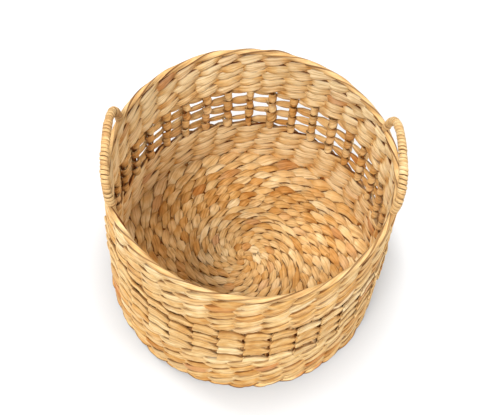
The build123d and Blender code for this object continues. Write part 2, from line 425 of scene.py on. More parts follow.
# %% [markdown]
# The tone group turns a stem's tone into its colour, from golden brown to pale straw. A tint can pull it
# towards red or grey, and the fibres darken it in streaks. A ramp is chosen because its colours can be read
# and changed one by one.

# %% Tone group
STEM_INKS = ((0.0, (180, 117, 49)), (0.35, (214, 165, 97)), (0.65, (232, 198, 142)), (1.0, (246, 225, 182)))
RED_INK = (186, 108, 48)
RED_LIMIT = 0.75
GREY_INK = (198, 170, 128)
GREY_LIMIT = 0.6
STREAKS = ((0.37, (0.5, 0.36, 0.2, 1)), (0.49, (0.87, 0.81, 0.7, 1)), (0.6, (1, 1, 1, 1)))
STREAK_SHARE = 0.66
MOTTLE_DEPTH = 0.16
NOISE_LOW, NOISE_HIGH = 0.3, 0.7


def tone_group():
    """Colour of a stem from its tone, its tint and its fibres."""
    value, colour = "NodeSocketFloat", "NodeSocketColor"
    sockets = [("Tone", value), ("Tint", value), ("Streak", value), ("Mottle", value)]
    group, start, end = new_group("stem tone", sockets, [("Color", colour)])
    links = group.links
    ramp = add_ramp(group, [(place, ink(*levels)) for place, levels in STEM_INKS])
    patch = add_range(group, NOISE_LOW, NOISE_HIGH, -MOTTLE_DEPTH, MOTTLE_DEPTH)
    links.new(start.outputs["Mottle"], patch.inputs["Value"])
    patched = group.nodes.new("ShaderNodeMath")
    links.new(start.outputs["Tone"], patched.inputs[0])
    links.new(patch.outputs[0], patched.inputs[1])
    links.new(patched.outputs[0], ramp.inputs["Fac"])
    red_share = add_range(group, 0.0, 1.0, 0.0, RED_LIMIT)
    links.new(start.outputs["Tint"], red_share.inputs["Value"])
    factor, base, other, reddened = add_mix(group)
    links.new(red_share.outputs[0], factor)
    links.new(ramp.outputs["Color"], base)
    other.default_value = ink(*RED_INK)
    grey_share = add_range(group, 0.0, -1.0, 0.0, GREY_LIMIT)
    links.new(start.outputs["Tint"], grey_share.inputs["Value"])
    factor, base, other, greyed = add_mix(group)
    links.new(grey_share.outputs[0], factor)
    links.new(reddened, base)
    other.default_value = ink(*GREY_INK)
    streaks = add_ramp(group, STREAKS)
    links.new(start.outputs["Streak"], streaks.inputs["Fac"])
    factor, base, other, streaked = add_mix(group, "MULTIPLY")
    factor.default_value = STREAK_SHARE
    links.new(greyed, base)
    links.new(streaks.outputs["Color"], other)
    links.new(streaked, end.inputs["Color"])
    return group


TONE = tone_group()
print("node group:", TONE.name, "with", len(STEM_INKS), "colours")

# %% [markdown]
# Painted shade: a dark brown is mixed in along the stems' edges, where neighbouring stems meet, and where
# a stem dives between the uprights, standing in for the shadow that falls there. Each corner of a strand
# already carries that amount as its third value, so the group only has to mix in the brown, a little
# unevenly.

# %% Crevice shade group
CREVICE_SHADE_INK = (82, 38, 5)
UNEVEN_PAINTED_SHADE = (0.6, 1.3)


def crevice_shade_group():
    """Painted shade on a strand's edges and on the parts that dive into the weave."""
    value, colour = "NodeSocketFloat", "NodeSocketColor"
    sockets = [("Color", colour), ("Shade", value), ("Crease", value), ("Amount", value)]
    group, start, end = new_group("crevice browning", sockets, [("Color", colour)])
    links = group.links
    uneven = add_range(group, NOISE_LOW, NOISE_HIGH, *UNEVEN_PAINTED_SHADE)
    links.new(start.outputs["Crease"], uneven.inputs["Value"])
    share = group.nodes.new("ShaderNodeMath")
    share.operation = "MULTIPLY"
    links.new(start.outputs["Shade"], share.inputs[0])
    links.new(uneven.outputs[0], share.inputs[1])
    amount = group.nodes.new("ShaderNodeMath")
    amount.operation = "MULTIPLY"
    amount.use_clamp = True
    links.new(share.outputs[0], amount.inputs[0])
    links.new(start.outputs["Amount"], amount.inputs[1])
    # Painted shade: the colour goes towards the dark brown where the strand's third value is high.
    factor, base, other, shaded = add_mix(group)
    links.new(amount.outputs[0], factor)
    links.new(start.outputs["Color"], base)
    other.default_value = ink(*CREVICE_SHADE_INK)
    links.new(shaded, end.inputs["Color"])
    return group


CREVICE_SHADE = crevice_shade_group()
print("node group:", CREVICE_SHADE.name)

# %% [markdown]
# A dried stem is matte with a faint gloss along its fibres. Four kinds show: broad flat stems, the rolled
# border, the cord of the handles and split cane. One function builds the finish of each. The kinds differ in
# how fine their fibres are, how strong their painted shade is and how deep the bump is.

# %% Stem materials
STEM_GLOSS = 0.1
GLOSS_CHANGE = 0.1
STREAK_RELIEF = 0.5


def place_group(tree, group):
    """A node that uses a shared group."""
    node = tree.nodes.new("ShaderNodeGroup")
    node.node_tree = group
    return node


def stem_material(name, across, along, painted_shade, bump_depth, rough):
    """Finish of one kind of stem."""
    material = bpy.data.materials.new(name)
    material.use_nodes = True
    tree = material.node_tree
    links = tree.links
    shader = tree.nodes["Principled BSDF"]
    shader.inputs["Specular IOR Level"].default_value = STEM_GLOSS
    grain = tree.nodes.new("ShaderNodeAttribute")
    grain.attribute_name = "grain"
    leaf = tree.nodes.new("ShaderNodeAttribute")
    leaf.attribute_name = "leaf"
    parts = tree.nodes.new("ShaderNodeSeparateXYZ")
    links.new(leaf.outputs["Vector"], parts.inputs[0])
    fibre = place_group(tree, FIBRE)
    fibre.inputs["Across"].default_value = across
    fibre.inputs["Along"].default_value = along
    links.new(grain.outputs["Vector"], fibre.inputs["Grain"])
    tone = place_group(tree, TONE)
    links.new(parts.outputs["X"], tone.inputs["Tone"])
    links.new(parts.outputs["Y"], tone.inputs["Tint"])
    for label in ("Streak", "Mottle"):
        links.new(fibre.outputs[label], tone.inputs[label])
    crevice = place_group(tree, CREVICE_SHADE)
    crevice.inputs["Amount"].default_value = painted_shade
    links.new(tone.outputs["Color"], crevice.inputs["Color"])
    links.new(parts.outputs["Z"], crevice.inputs["Shade"])
    links.new(fibre.outputs["Crease"], crevice.inputs["Crease"])
    links.new(crevice.outputs["Color"], shader.inputs["Base Color"])
    gloss = add_range(tree, NOISE_LOW, NOISE_HIGH, rough - GLOSS_CHANGE, rough + GLOSS_CHANGE)
    links.new(fibre.outputs["Streak"], gloss.inputs["Value"])
    links.new(gloss.outputs[0], shader.inputs["Roughness"])
    relief = tree.nodes.new("ShaderNodeMath")
    relief.operation = "MULTIPLY_ADD"
    relief.inputs[1].default_value = STREAK_RELIEF
    links.new(fibre.outputs["Streak"], relief.inputs[0])
    links.new(fibre.outputs["Crease"], relief.inputs[2])
    bump = tree.nodes.new("ShaderNodeBump")
    bump.inputs["Distance"].default_value = bump_depth
    links.new(relief.outputs[0], bump.inputs["Height"])
    links.new(bump.outputs["Normal"], shader.inputs["Normal"])
    return material


STRAND = stem_material("dried flat stem", across=360, along=12, painted_shade=0.9, bump_depth=0.0011, rough=0.62)
BORDER = stem_material(
    "rolled border stem", across=520, along=30, painted_shade=0.8, bump_depth=0.0014, rough=0.62
)
CORD = stem_material("wrapping cord", across=1100, along=60, painted_shade=0.75, bump_depth=0.0006, rough=0.6)
CANE = stem_material("split cane", across=1000, along=30, painted_shade=0.8, bump_depth=0.0005, rough=0.6)
print("materials:", [material.name for material in (STRAND, BORDER, CORD, CANE)])

# %% [markdown]
# The dense rows are twined: two flat stems twist round each other and hold one upright in every half
# turn. At an upright one stem lies outside and the other inside. Between uprights they change places, one
# crossing above the other. Following two stems with this law gives the slanted, overlapping leaves of the
# real weave on both sides of the wall, which no flat pattern could. A leaf is broad over its upright and
# narrows to a neck where the two stems cross.

# %% Twined rows
SAMPLES = 10
LEAF_WIDTH = 0.57
WALL_LIFT = 0.37
WALL_NECK = 0.36
WALL_ROLL = 0.12
WALL_EDGE_SHADE = 0.85
WALL_TONE = 0.53
WALL_WANDER = 0.16
BASE_LIFT = 0.34
BASE_NECK = 0.38
BASE_ROLL = 0.4
BASE_EDGE_SHADE = 1.45
BASE_TONE = 0.57
BASE_WANDER = 0.42
LEAF_WANDER = 0.09
# Painted light: stem parts facing the inside are paler and a little greyer; their painted edge shade is
# stronger.
INSIDE_PAINTED_LIGHT = 0.5
INSIDE_PAINTED_GREYING = 0.05
INSIDE_EDGE_SHADE = 1.3
WIDTH_SPREAD = 0.06
LIFT_SPREAD = 0.045
STAND_SPREAD = 0.1
TILT_MIDDLE = 0.1
TILT_SPREAD = 0.08
LIFT_POWER = 1.2
STAND_POWER = 0.75
WIDTH_POWER = 0.8
LEAF_DEPTH = 0.85
NECK_DEEPER = 0.3
# Painted shade where the two stems cross and dive into the weave.
NECK_SHADE = 0.15
NECK_SHADE_POWER = 6
LEAF_SHARPNESS = 4


def ring_axes(angle):
    """Directions outward, along and up at angles round the basket."""
    zero = np.zeros_like(angle)
    outward = np.stack([np.cos(angle), np.sin(angle), zero], -1)
    upward = np.stack([zero, zero, zero + 1], -1)
    along = np.stack([-np.sin(angle), np.cos(angle), zero], -1)
    return outward, along, upward


def twined_strand(ring, bays, sizes, phase, flat, middle_tone, wander):
    """One of the two stems of a twined row; flat rows lie in the base, the others in the wall."""
    radius, level = ring
    pitch, stand_off, half_depth = sizes
    count = bays * SAMPLES
    angle = 2 * pi * (np.arange(count) + SAMPLES / 2) / count
    place = angle * bays / (2 * pi) + phase
    place = place + along_leaves(wander, place - phase)
    swing = np.cos(pi * place)
    cross = np.sin(pi * place)
    outward, along, upward = ring_axes(angle)
    side, face = (-outward, upward) if flat else (upward, outward)
    width_change = along_leaves(draw.normal(0, WIDTH_SPREAD, bays), place)
    lift_change = along_leaves(draw.normal(0, LIFT_SPREAD, bays), place)
    stand_change = along_leaves(draw.normal(0, STAND_SPREAD, bays), place)
    tilt = along_leaves(draw.normal(TILT_MIDDLE, TILT_SPREAD, bays), place)
    full_lift = BASE_LIFT if flat else WALL_LIFT
    lift = pitch * (full_lift * signed_power(cross, LIFT_POWER) + lift_change)
    stand = stand_off * (signed_power(swing, STAND_POWER) + stand_change)
    base_radius = radius if flat else radius + (wall_radius(level + lift) - wall_radius(level))
    centres = outward * np.broadcast_to(base_radius, angle.shape)[:, None] + upward * level
    centres = centres + side * lift[:, None] + face * stand[:, None]
    neck, roll, edge = (BASE_NECK, BASE_ROLL, BASE_EDGE_SHADE) if flat else (WALL_NECK, WALL_ROLL, WALL_EDGE_SHADE)
    half_width = pitch * (neck + (LEAF_WIDTH - neck) * np.abs(swing) ** WIDTH_POWER) * (1 + width_change)
    half = half_depth * (LEAF_DEPTH + NECK_DEEPER * np.abs(cross))
    across = side * np.cos(tilt)[:, None] + along * np.sin(tilt)[:, None] - face * (roll * cross)[:, None]
    tone, tint = stem_tones(bays, middle_tone)
    # Painted light: where a wall stem lies inside, its tone is raised and its tint greyed to brighten the
    # inside.
    inside = np.zeros(count) if flat else np.clip(-swing, 0, 1)
    tone = along_leaves(tone, place, LEAF_SHARPNESS) + INSIDE_PAINTED_LIGHT * inside
    tint = along_leaves(tint, place, LEAF_SHARPNESS) - INSIDE_PAINTED_GREYING * inside
    # Painted shade at the crossings, strongest where the stems dive in.
    shade = NECK_SHADE * np.abs(cross) ** NECK_SHADE_POWER
    edges = edge + INSIDE_EDGE_SHADE * inside
    return sweep(centres, across, half_width, half, (tone, tint), shade, cell=SAMPLES, edge=edges)


def twined_row(name, ring, bays, sizes, flat, node, middle_tone=WALL_TONE):
    """Both stems of one twined row, as one piece."""
    reach = BASE_WANDER if flat else WALL_WANDER
    wander = draw.uniform(-reach, reach) + draw.normal(0, LEAF_WANDER, bays)
    strands = [twined_strand(ring, bays, sizes, phase, flat, middle_tone, wander) for phase in (0, 1)]
    return fit_piece(lay_strands(name, strands, STRAND), "strand", node)


print("sections in each leaf:", SAMPLES, "width of a leaf in rows:", 2 * LEAF_WIDTH)

# %% [markdown]
# Five dense rows stand below the openwork and five above it. They could be copies of one row, but then the
# same leaf would show in every row. A loop weaves each afresh, at the height and width of its solid.

# %% Wall rows
WALL_ROWS = 5
WALL_STAND_OFF = 0.0027
WALL_HALF_DEPTH = 0.0029
wall_rows = []
for zone in ("lower", "upper"):
    for number in range(1, WALL_ROWS + 1):
        node = f"{zone}_weft_{number}"
        low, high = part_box(node)
        level = (low.z + high.z) / 2
        ring = (wall_radius(level), level)
        sizes = (high.z - low.z, WALL_STAND_OFF, WALL_HALF_DEPTH)
        row = twined_row(f"{zone}_twined_row_{number}", ring, STAKE_COUNT, sizes, False, node)
        wall_rows.append(row)
print("wall rows:", len(wall_rows), "faces in one:", len(wall_rows[0].data.polygons))

# %% [markdown]
# The base is twined in the same way, lying flat. Near the middle half as many spokes carry the rows, so
# the leaves there are as long as those further out. Each row's width runs from the row inside it to its own
# outer edge, and the last row reaches out to the wall.

# %% Base rows
BASE_STAND_OFF = 0.0023
BASE_HALF_DEPTH = 0.0026
INNER_BASE_ROWS = 6
BASE_ROWS = 13
WALL_REACH = 0.004
base_rows = []
inner_edge = knot_high.x
for number in range(1, BASE_ROWS + 1):
    node = f"base_weft_{number}"
    outer_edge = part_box(node)[1].x if number < BASE_ROWS else wall_radius(SPOKE_LEVEL) - WALL_REACH
    bays = STAKE_COUNT // 2 if number <= INNER_BASE_ROWS else STAKE_COUNT
    ring = ((inner_edge + outer_edge) / 2, SPOKE_LEVEL)
    sizes = (outer_edge - inner_edge, BASE_STAND_OFF, BASE_HALF_DEPTH)
    row = twined_row(f"base_row_{number}", ring, bays, sizes, True, node, BASE_TONE)
    base_rows.append(row)
    inner_edge = outer_edge
print("base rows:", len(base_rows), "outer edge:", round(inner_edge, 4))

# %% [markdown]
# In the middle of the base the first canes cross under a small knot of the same stems. Two short twined
# rounds and a button of stem close it. The foot is a flat twisted round that the basket stands on. Both
# follow the twining law of the rows, so that they match them.

# %% Base knot and foot
# Radius, number of bays and width of each round of the knot.
KNOT_ROUNDS = ((0.0195, 9, 0.0125), (0.0085, 6, 0.0105))
BUTTON_SECTIONS = 9
BUTTON_SIDES = 10
BUTTON_RADIUS = 0.004
BUTTON_RISE = 0.004
BUTTON_HALF_WIDTH = 0.0035
BUTTON_TIP = 0.1
BUTTON_FLATNESS = 0.6
BUTTON_TONE = 0.5
FOOT_DEPTH = 0.0022
FOOT_RAISE = 2.2


def button():
    """Small rounded end of stem in the middle of the knot."""
    turn = np.linspace(0, pi, BUTTON_SECTIONS)
    zeros = np.zeros(BUTTON_SECTIONS)
    height = SPOKE_LEVEL + BUTTON_RISE * np.sin(turn)
    centres = np.stack([BUTTON_RADIUS * np.cos(turn), zeros, height], -1)
    across = np.tile([0.0, 1.0, 0.0], (BUTTON_SECTIONS, 1))
    size = BUTTON_HALF_WIDTH * (BUTTON_TIP + (1 - BUTTON_TIP) * np.sin(turn))
    tones = (np.full(BUTTON_SECTIONS, BUTTON_TONE), zeros)
    sizes = (size, size * BUTTON_FLATNESS)
    return sweep(centres, across, *sizes, tones, zeros, around=BUTTON_SIDES, closed=False)


knot_strands = [button()]
for radius, bays, width in KNOT_ROUNDS:
    wander = draw.normal(0, LEAF_WANDER, bays)
    sizes = (width, BASE_STAND_OFF, BASE_HALF_DEPTH)
    for phase in (0, 1):
        strand = twined_strand((radius, SPOKE_LEVEL), bays, sizes, phase, True, BASE_TONE, wander)
        knot_strands.append(strand)
knot = fit_piece(lay_strands("base_knot", knot_strands, STRAND), "cane", "base_centre")
foot_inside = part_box(f"base_weft_{BASE_ROWS}")[1].x
foot_ring = ((foot_inside + foot_high.x) / 2, FOOT_RAISE * FOOT_DEPTH)
foot_sizes = (foot_high.x - foot_inside, FOOT_DEPTH, FOOT_DEPTH)
foot = twined_row("foot_round", foot_ring, STAKE_COUNT, foot_sizes, True, "foot_weft")
print("knot faces:", len(knot.data.polygons), "foot faces:", len(foot.data.polygons))

# %% [markdown]
# The openwork band is wrapped instead of twined. One stem runs outside the uprights and takes a full turn
# round each of them. On the outside each stretch starts broad at one upright, over the end of the stretch
# before it, and runs narrow and a little downhill to the next. Daylight shows above and below it. One ring
# with a changing width would be simpler, but only separate stretches can lie over one another.

# %% Openwork strands
OPEN_ROWS = 4
# Places along a stretch, as shares of the bay between two uprights.
SPAN_PLACES = np.concatenate([[-0.1, -0.07], np.linspace(0.0, 1.0, 12)])
SPAN_START = -0.08
START_CUT = 0.25
SPAN_HALF_WIDTH = 0.0098
SPAN_HALF_DEPTH = 0.0023
SPAN_TAPER = 0.74
SPAN_THINNING = 0.0009
SPAN_DROP = 0.0035
DROP_SPREAD = 0.0016
LEVEL_SPREAD = 0.0012
SPAN_STAND_OFF = 0.0042
START_RAISE = 0.0012
END_SINK = 0.0008
FRONT_FULLNESS = 0.24
FULLNESS_SPREAD = 0.12
SPAN_LEAN = 0.08
LEAN_SPREAD = 0.09
SPAN_TONE = 0.6
SPAN_TONE_SPREAD = 0.12
SPAN_TINT = 0.7
# Painted shade at the narrow end of a stretch, where it tucks under the next one.
SPAN_SHADE = 0.2
SPAN_EDGE_SHADE = 0.7
# Where each change along a stretch begins and how long it takes, as shares of the bay.
RAISE_PART = (0.0, 0.3)
TAPER_PART = (0.45, 0.6)
THINNING_PART = (0.7, 0.3)
SINK_PART = (0.8, 0.2)
SHADE_PART = (0.85, 0.2)
# Stretches made of thinner stem, by row and bay.
THIN_SPANS = {
    (1, 27): 0.82, (1, 28): 0.78, (1, 29): 0.8,
    (2, 27): 0.9, (2, 28): 0.9, (2, 29): 0.66,
    (4, 22): 0.45,
}


def ease(values, start, length):
    """Smooth step from zero to one over a length."""
    share = np.clip((values - start) / length, 0, 1)
    return share * share * (3 - 2 * share)


def open_span(row, number, level, tone, tint):
    """The stem of an openwork row between one upright and the next, on their outside."""
    share = SPAN_PLACES
    count = len(share)
    outward, along, upward = ring_axes((number + share) * BAY)
    drop = draw.normal(SPAN_DROP, DROP_SPREAD)
    height = level + draw.normal(0, LEVEL_SPREAD) + drop * (0.5 - share)
    chord = wall_radius(level) * np.cos(BAY / 2) / np.cos((share - 0.5) * BAY)
    stand = SPAN_STAND_OFF + START_RAISE * (1 - ease(share, *RAISE_PART))
    stand = stand - END_SINK * ease(share, *SINK_PART)
    centres = outward * (chord + stand)[:, None] + upward * height[:, None]
    fuller = 1 + FRONT_FULLNESS * -np.sin((number + 0.5) * BAY) + draw.normal(0, FULLNESS_SPREAD)
    full = SPAN_HALF_WIDTH * fuller * THIN_SPANS.get((row, number), 1.0)
    narrowing = 1 - SPAN_TAPER * ease(share, *TAPER_PART)
    half_width = full * narrowing * (1 - START_CUT * (share < SPAN_START))
    across = upward + along * draw.normal(SPAN_LEAN, LEAN_SPREAD)
    half_depth = SPAN_HALF_DEPTH - SPAN_THINNING * ease(share, *THINNING_PART)
    sizes = (half_width, half_depth)
    tones = (np.full(count, tone), np.full(count, tint))
    # Painted shade towards the narrow end, where the stretch tucks under the next.
    shade = SPAN_SHADE * ease(share, *SHADE_PART)
    return sweep(centres, across, *sizes, tones, shade, closed=False, cell=count, edge=SPAN_EDGE_SHADE)


def open_strand(row, level):
    """All the stretches of one openwork row."""
    tone, tint = stem_tones(STAKE_COUNT, SPAN_TONE, SPAN_TONE_SPREAD)
    return [open_span(row, k, level, tone[k], tint[k] * SPAN_TINT) for k in range(STAKE_COUNT)]


open_levels = []
open_rows = []
for number in range(1, OPEN_ROWS + 1):
    node = f"openwork_weft_{number}"
    low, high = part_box(node)
    open_levels.append((low.z + high.z) / 2)
    piece = lay_strands(f"openwork_strand_{number}", open_strand(number, open_levels[-1]), STRAND)
    open_rows.append(fit_piece(piece, "strand", node))
print("openwork strands:", len(open_rows), "levels:", [round(level, 4) for level in open_levels])

# %% [markdown]
# Seen from inside, each turn round an upright is a tall bead. It is the same stem, lying across the upright
# with its full width, so the beads of four rows stand in columns. Each bead is a short strand of its own, so
# that its height, slant and tone can differ from the next.

# %% Openwork turns
TURN_REACH = radians(100)
TURN_SAMPLES = 13
BEAD_SIDES = 10
BEAD_HALF_HEIGHT = 0.0108
HEIGHT_SPREAD = 0.08
BEAD_HALF_DEPTH = 0.0016
BEAD_STAND_OFF = 0.0046
BEAD_REACH = 0.0047
REACH_SPREAD = 0.0006
BEAD_CLIMB = 0.0042
CLIMB_SPREAD = 0.0018
SHIFT_SPREAD = 0.0011
BEAD_END = 0.42
BEAD_SWELL = 0.58
BEAD_ROUNDNESS = 0.62
BEAD_TONE = 0.55
BEAD_TONE_SPREAD = 0.1
BEAD_TINT = 0.1
BEAD_TINT_SPREAD = 0.12
BEAD_SHADE_POWER = 3


def bead(level, number):
    """One turn of stem round the inner face of an upright."""
    swing = np.linspace(-TURN_REACH, TURN_REACH, TURN_SAMPLES)
    outward, along, upward = ring_axes(np.array([number * BAY]))
    climb = draw.normal(BEAD_CLIMB, CLIMB_SPREAD)
    shift = draw.normal(0, SHIFT_SPREAD)
    reach = draw.normal(BEAD_REACH, REACH_SPREAD)
    radius = wall_radius(level) - BEAD_STAND_OFF * np.cos(swing)
    centres = outward * radius[:, None] + along * (reach * np.sin(swing))[:, None]
    centres = centres + upward * (level + shift - climb * swing / TURN_REACH)[:, None]
    across = np.repeat(upward, TURN_SAMPLES, 0)
    height = BEAD_END + BEAD_SWELL * np.cos(swing * BEAD_ROUNDNESS) ** 2
    half_width = BEAD_HALF_HEIGHT * height * draw.normal(1, HEIGHT_SPREAD)
    sizes = (half_width, np.full(TURN_SAMPLES, BEAD_HALF_DEPTH))
    tone = np.full(TURN_SAMPLES, np.clip(draw.normal(BEAD_TONE, BEAD_TONE_SPREAD), 0, 1))
    tint = np.full(TURN_SAMPLES, np.clip(draw.normal(BEAD_TINT, BEAD_TINT_SPREAD), -1, 1))
    # Painted shade towards both ends of the turn, where it wraps round the upright into the weave.
    shade = np.clip(np.abs(swing) / TURN_REACH, 0, 1) ** BEAD_SHADE_POWER
    return sweep(centres, across, *sizes, (tone, tint), shade, BEAD_SIDES, False, TURN_SAMPLES)


turn_rows = []
for number, level in enumerate(open_levels, 1):
    beads = [bead(level, k) for k in range(STAKE_COUNT)]
    piece = lay_strands(f"openwork_turns_{number}", beads, STRAND)
    turn_rows.append(fit_piece(piece, "strand", f"openwork_loops_{number}"))
print("rows of turns:", len(turn_rows), "turns in each:", STAKE_COUNT)

# %% [markdown]
# The uprights show only in the openwork, as thin brownish canes between the beads, darkened all along with
# painted shade. Each is a spoke of the base that bends up into the wall. The four that meet a handle's leg
# stop where the leg takes over. They are swept like the strands, so that spoke, bend and upright stay one
# cane.

# %% Uprights
CANE_HALF_WIDTH = 0.0028
CANE_HALF_DEPTH = 0.0018
CANE_WOBBLE = 0.00012
CANE_THINNEST = 0.45
CANE_TONES = (0.0, 0.25)
CANE_TINTS = (0.2, 0.7)
# Painted shade over each whole cane, so that it reads dark between the beads.
CANE_SHADE = 0.8
CANE_SIDES = 8
SPOKE_STEPS = 9
BEND_STEPS = 6
RISE_STEPS = 22
BEND_RADIUS = 0.012
HANDLE_BAYS = 2
ADDED_SPOKE_START = 0.092
LEG_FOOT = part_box("upper_weft_1")[0].z
HANDLE_STAKES = {HANDLE_BAYS, STAKE_COUNT - HANDLE_BAYS}
HANDLE_STAKES |= {STAKE_COUNT // 2 - HANDLE_BAYS, STAKE_COUNT // 2 + HANDLE_BAYS}


def cane(number, start):
    """One spoke and upright, bent at the edge of the base."""
    top = LEG_FOOT if number in HANDLE_STAKES else rim_low.z
    edge = wall_radius(SPOKE_LEVEL)
    turn = np.linspace(0, pi / 2, BEND_STEPS)
    spoke = np.linspace(start, edge - BEND_RADIUS, SPOKE_STEPS)[:-1]
    rise = np.linspace(SPOKE_LEVEL + BEND_RADIUS, top, RISE_STEPS)[1:]
    radius = np.concatenate([spoke, edge - BEND_RADIUS * (1 - np.sin(turn)), wall_radius(rise)])
    bend = SPOKE_LEVEL + BEND_RADIUS * (1 - np.cos(turn))
    height = np.concatenate([np.full(len(spoke), SPOKE_LEVEL), bend, rise])
    count = len(radius)
    outward, along, upward = ring_axes(np.full(count, number * BAY))
    wobble = np.cumsum(draw.normal(0, CANE_WOBBLE, count))
    centres = outward * radius[:, None] + upward * height[:, None] + along * wobble[:, None]
    taper = np.clip((radius - knot_high.x) / (ADDED_SPOKE_START - knot_high.x), CANE_THINNEST, 1)
    tones = (np.full(count, draw.uniform(*CANE_TONES)), np.full(count, draw.uniform(*CANE_TINTS)))
    sizes = (CANE_HALF_WIDTH * taper, CANE_HALF_DEPTH * taper)
    return sweep(centres, along, *sizes, tones, np.full(count, CANE_SHADE), CANE_SIDES, False, count)


for node, first, start in (("stakes_from_centre", 0, knot_high.x), ("stakes_added", 1, ADDED_SPOKE_START)):
    canes = [cane(k, start) for k in range(first, STAKE_COUNT, 2)]
    fit_piece(lay_strands(node.replace("stakes", "canes"), canes, CANE), "cane", node)
print("uprights:", STAKE_COUNT, "cut short for the handles:", sorted(HANDLE_STAKES))

# %% [markdown]
# The border is a smooth roll: long stems laid over one another at a very slow twist, so that thin slanting
# seams run along it. A ring with a bump would be quicker, but laid stems keep their seams from every side.

# %% Rolled border
BORDER_STEMS = 3
BORDER_LAYS = 9
BORDER_OFFSET = 0.0018
BORDER_HALF_WIDE = 0.0036
BORDER_HALF_DEEP = 0.0021
BORDER_SWELL = 0.1
BORDER_WAVE = 0.0008
BORDER_TONE = 0.4
BORDER_TONE_SPREAD = 0.12
BORDER_TINT = 0.4
BORDER_GREYER = 0.85
rim_level = (rim_low.z + rim_high.z) / 2


def border_stem(number):
    """One of the long stems of the border."""
    count = STAKE_COUNT * SAMPLES
    angle = 2 * pi * np.arange(count) / count
    outward, _, upward = ring_axes(angle)
    twist = BORDER_LAYS * angle + 2 * pi * number / BORDER_STEMS
    lean = outward * np.cos(twist)[:, None] + upward * np.sin(twist)[:, None]
    across = upward * np.cos(twist)[:, None] - outward * np.sin(twist)[:, None]
    place = angle / BAY
    swell = 1 + along_leaves(draw.normal(0, BORDER_SWELL, STAKE_COUNT), place)
    wave = along_leaves(draw.normal(0, BORDER_WAVE, STAKE_COUNT), place)
    centres = outward * RIM_RADIUS + upward * (rim_level + wave)[:, None] + lean * BORDER_OFFSET
    tone, tint = stem_tones(STAKE_COUNT, BORDER_TONE, BORDER_TONE_SPREAD)
    tones = (along_leaves(tone, place), along_leaves(tint * BORDER_TINT - BORDER_GREYER, place))
    sizes = (BORDER_HALF_WIDE * swell, BORDER_HALF_DEEP * swell)
    return sweep(centres, across, *sizes, tones, np.zeros(count), cell=SAMPLES)


border = lay_strands("rolled_border", [border_stem(k) for k in range(BORDER_STEMS)], BORDER)
fit_piece(border, "border", "rim_border")
print("border faces:", len(border.data.polygons))

# %% [markdown]
# Each handle is a stiff bow that grows out of the wall. Its core is hidden by cord wound tightly from
# border to border. The bow's line is worked out from the boxes of the solids. A ribbed tube could stand for
# the cord, but a coil round that line gives every turn its own tone and its own edges.

# %% Handles
HANDLE_SQUARENESS = 2.5
WRAP_RADIUS = 0.0058
CORD_HALF_WIDTH = 0.0029
CORD_HALF_DEPTH = 0.0015
CORD_TONE = 0.46
CORD_TONE_SPREAD = 0.22
CORD_TINT = 0.5
CORD_GREYER = 1.0
CORD_SHARPNESS = 3
CORD_SLACK = 0.14
CORD_SIDES = 8
COIL_SPREAD = 0.0004
TURN_PITCH = 0.0054
TURN_STEPS = 18
BOW_POINTS = 400
wrap_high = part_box("handle_wrap_right")[1]
HANDLE_FOOT_RADIUS = wall_radius(rim_high.z)
HANDLE_RISE = wrap_high.z - WRAP_RADIUS - rim_high.z
HANDLE_LEAN = wrap_high.x - WRAP_RADIUS - HANDLE_FOOT_RADIUS * cos(HANDLE_BAYS * BAY)


def bow_line(share):
    """Points on the middle of the right-hand bow, from foot (0) to foot (1)."""
    power = 2 / HANDLE_SQUARENESS
    climb = np.abs(np.sin(pi * share)) ** power
    reach = signed_power(-np.cos(pi * share), power)
    x = HANDLE_FOOT_RADIUS * cos(HANDLE_BAYS * BAY) + HANDLE_LEAN * climb
    y = HANDLE_FOOT_RADIUS * sin(HANDLE_BAYS * BAY) * reach
    return np.stack([x, y, rim_high.z + HANDLE_RISE * climb], -1)


def even_steps(points, count):
    """The same line with points at even distances."""
    length = np.concatenate([[0], np.cumsum(np.linalg.norm(np.diff(points, axis=0), axis=1))])
    places = np.linspace(0, length[-1], count)
    return np.stack([np.interp(places, length, points[:, axis]) for axis in range(3)], -1), length[-1]


def cord_coil(side):
    """Cord wound round one bow."""
    fine = bow_line(np.linspace(0, 1, BOW_POINTS))
    length = even_steps(fine, 2)[1]
    turns = round(length / TURN_PITCH)
    line = even_steps(fine, turns * TURN_STEPS + 1)[0]
    ahead = path_steps(line, False)
    front = unit(np.cross(ahead, np.tile([1.0, 0.0, 0.0], (len(line), 1))))
    deep = np.cross(front, ahead)
    turn = 2 * pi * np.arange(len(line)) / TURN_STEPS
    place = np.arange(len(line)) / TURN_STEPS
    coil = WRAP_RADIUS - CORD_HALF_DEPTH + along_leaves(draw.normal(0, COIL_SPREAD, turns), place)
    spoke = front * np.cos(turn)[:, None] + deep * np.sin(turn)[:, None]
    centres = line + spoke * coil[:, None]
    tone, tint = stem_tones(turns, CORD_TONE, CORD_TONE_SPREAD)
    tone = along_leaves(tone, place, CORD_SHARPNESS)
    tint = along_leaves(tint * CORD_TINT - CORD_GREYER, place, CORD_SHARPNESS)
    slack = 1 + along_leaves(draw.normal(0, CORD_SLACK, turns), place)
    sizes = (CORD_HALF_WIDTH * slack, np.full(len(line), CORD_HALF_DEPTH))
    shade = np.zeros(len(line))
    strand = sweep(centres, ahead, *sizes, (tone, tint), shade, CORD_SIDES, False, TURN_STEPS)
    strand["points"] = strand["points"] * np.array([side, side, 1.0])
    return strand


for label, side in (("right", 1), ("left", -1)):
    wrap = lay_strands(f"handle_cord_{label}", [cord_coil(side)], CORD)
    fit_piece(wrap, "cord_wrap", f"handle_wrap_{label}")
    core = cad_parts[f"handle_core_{label}"]
    core.data.materials.clear()
    core.data.materials.append(CANE)
print("handle rise:", round(HANDLE_RISE, 4), "lean:", round(HANDLE_LEAN, 4))

